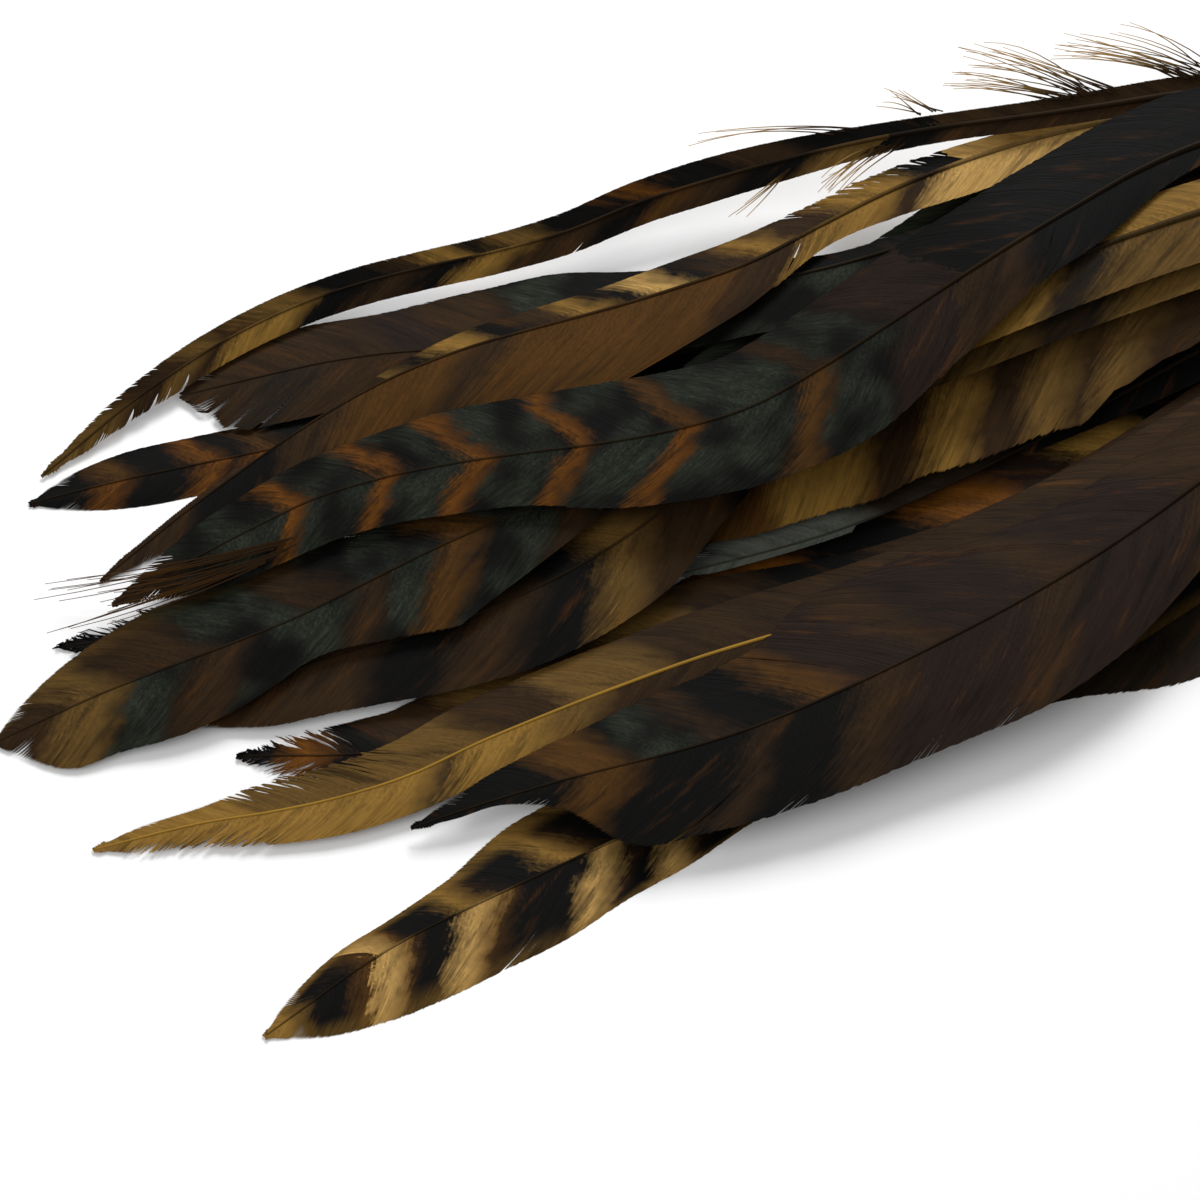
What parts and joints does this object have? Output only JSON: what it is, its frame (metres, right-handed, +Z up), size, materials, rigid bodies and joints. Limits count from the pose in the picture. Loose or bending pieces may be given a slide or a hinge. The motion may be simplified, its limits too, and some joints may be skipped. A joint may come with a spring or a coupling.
{
  "type": "rooster schlappen",
  "caption": "Tied bunch of barred and dark rooster schlappen feathers lying down, tips fanned, quills held by cotton string.",
  "frame": {"origin": "middle of the bunch's footprint, on the surface that it rests on", "axes": "+X from the tips towards the string that holds the quills, +Z up"},
  "size_m": [0.2566, 0.1044, 0.018],
  "materials": {
    "dark_vane": "satin, green and purple sheen",
    "barred_vane": "satin, dark green and orange-brown bars",
    "bold_barred_vane": "satin, black and gold bars",
    "brown_vane": "satin",
    "gold_vane": "satin",
    "grey_vane": "glossy",
    "cotton_string": "matte, twisted"
  },
  "bodies": {
    "root": {"feather_low_dark": "dark_vane", "feather_bold_barred": "bold_barred_vane", "feather_split_tip": "dark_vane", "feather_small_barred": "barred_vane", "feather_deep_brown": "brown_vane", "feather_ragged": "brown_vane", "feather_golden": "gold_vane", "feather_purple_barred": "barred_vane", "feather_edge_on": "grey_vane", "feather_gold_back": "gold_vane", "feather_black_back": "dark_vane", "feather_blunt_dark": "dark_vane", "feather_long_brown": "brown_vane", "feather_twisted_slim": "bold_barred_vane", "feather_soft_barred": "brown_vane", "feather_under_front": "brown_vane", "feather_front_wide": "barred_vane", "feather_barred_green": "barred_vane", "thread_tie": "cotton_string"}
  },
  "joints": []
}
